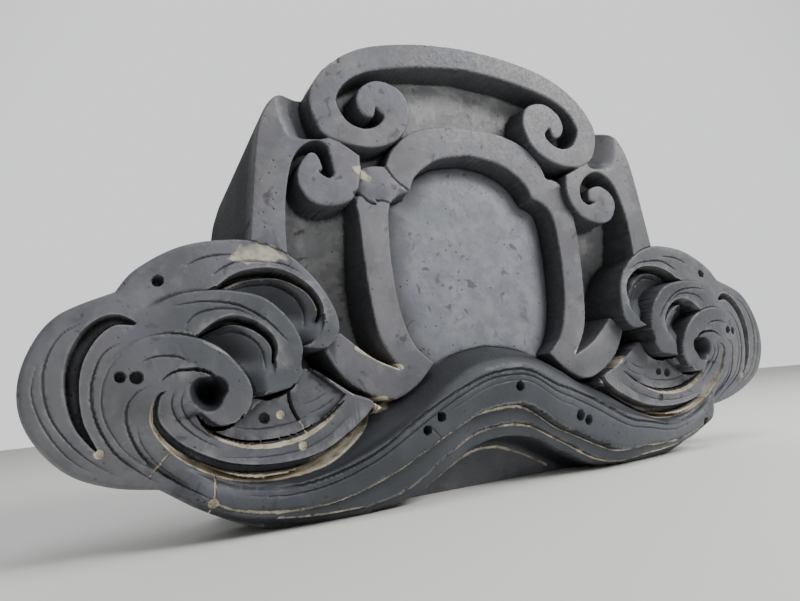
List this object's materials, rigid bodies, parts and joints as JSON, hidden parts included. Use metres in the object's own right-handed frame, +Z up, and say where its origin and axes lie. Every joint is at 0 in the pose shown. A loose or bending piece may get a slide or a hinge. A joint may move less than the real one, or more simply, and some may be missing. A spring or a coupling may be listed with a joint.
{
  "type": "roof end tile",
  "caption": "Hollow ridge-end roof tile with a plain arched panel in a cusped frame, a scroll pediment and carved wave fins on both sides.",
  "frame": {"origin": "centre of the bounding box on the underside", "axes": "+X to the right across the fins, -Y out of the carved face, +Z up"},
  "size_m": [0.588, 0.11, 0.33],
  "materials": {
    "smoked_clay": "smoked grey fired clay, soft satin sheen, pitted, lime in the grooves"
  },
  "bodies": {
    "root": {"roof_end_tile": "smoked_clay"}
  },
  "joints": []
}
